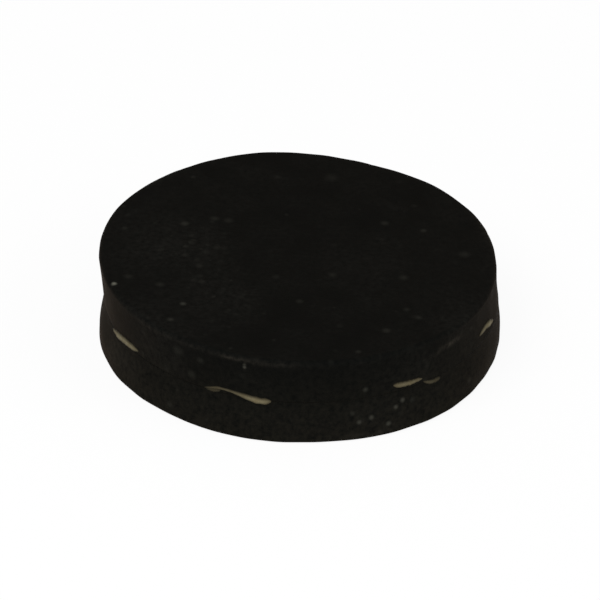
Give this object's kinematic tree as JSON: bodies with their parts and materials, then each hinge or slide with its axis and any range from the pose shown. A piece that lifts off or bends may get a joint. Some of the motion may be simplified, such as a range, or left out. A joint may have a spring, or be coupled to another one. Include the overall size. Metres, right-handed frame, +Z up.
{
  "type": "hockey puck",
  "caption": "Thin round puck of two black rubber discs cemented face to face, with rounded rims, an edge drawn in at the joint and short beads of dried cement along it.",
  "frame": {"origin": "middle of the lower disc's flat underside, on the surface that the puck rests on", "axes": "+Z up through the puck, +X to the right and -Y towards the picture's viewpoint"},
  "size_m": [0.0766, 0.0766, 0.019],
  "materials": {
    "rubber": "worn black vulcanised rubber, dull satin, with fine scuffs and specks of pale dust",
    "cement": "dried tan rubber cement, satin"
  },
  "bodies": {
    "root": {"upper_disc": "rubber", "lower_disc": "rubber", "cement_film": "cement", "bead_right": "cement", "bead_front_right": "cement", "bead_front_left": "cement", "bead_left": "cement", "bead_back_left": "cement", "bead_back": "cement", "bead_back_right": "cement"}
  },
  "joints": []
}
